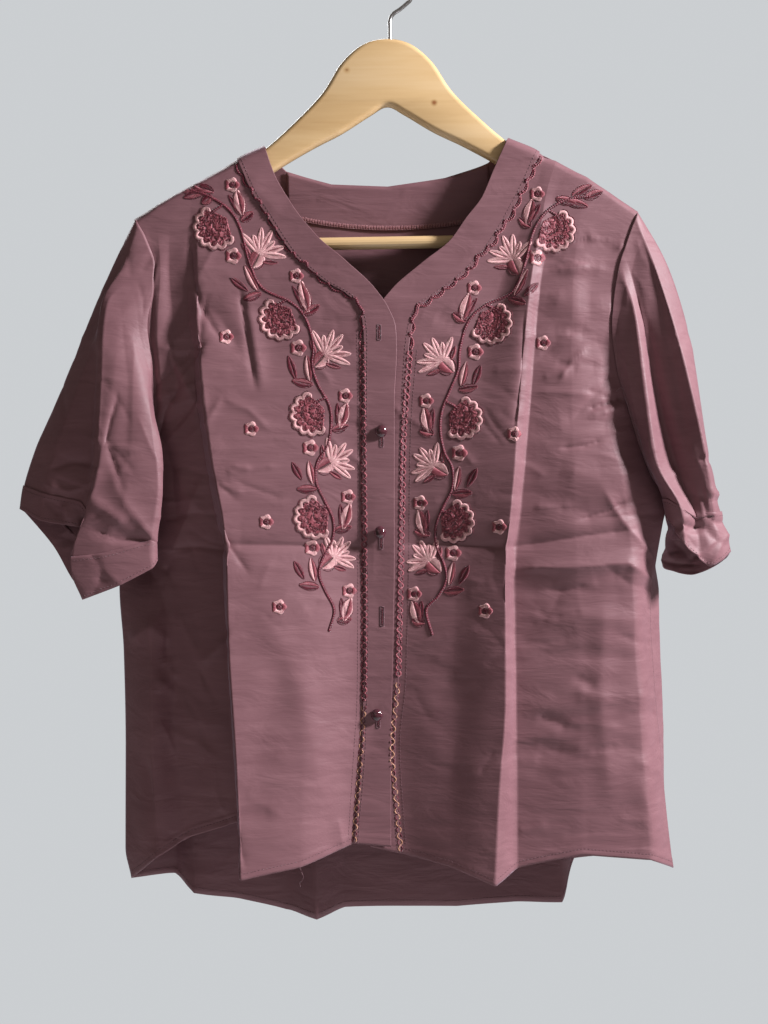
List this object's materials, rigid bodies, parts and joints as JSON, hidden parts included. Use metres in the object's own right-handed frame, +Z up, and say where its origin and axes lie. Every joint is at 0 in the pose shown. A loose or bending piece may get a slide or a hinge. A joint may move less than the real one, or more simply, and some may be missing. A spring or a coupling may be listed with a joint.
{
  "type": "embroidered top on a wooden hanger",
  "caption": "Short-sleeved V-neck top with a buttoned front and embroidered bands, hanging open at the hem on a flat wooden hanger with a wire hook.",
  "frame": {"origin": "the hanging point, under the top of the hook's bend, where a rail carries the hanger", "axes": "+Z up; +X to the right as seen from the front; the garment's front faces -Y; right and left in the names are the wearer's"},
  "size_m": [0.6521, 0.0951, 0.8815],
  "materials": {
    "cloth": "soft sheen, pressed creases",
    "button": "glossy, slightly translucent",
    "wood": "clear satin varnish",
    "steel": "bright nickel-plated wire"
  },
  "bodies": {
    "root": {"back": "cloth", "back_neck_facing": "cloth", "band_left": "cloth", "band_right": "cloth", "button_1": "button", "button_2": "button", "button_3": "button", "cuff_left": "cloth", "cuff_right": "cloth", "front_left": "cloth", "front_right": "cloth", "hanger_bar": "wood", "hanger_hook": "steel", "hanger_wood": "wood", "sleeve_left": "cloth", "sleeve_right": "cloth"}
  },
  "joints": []
}
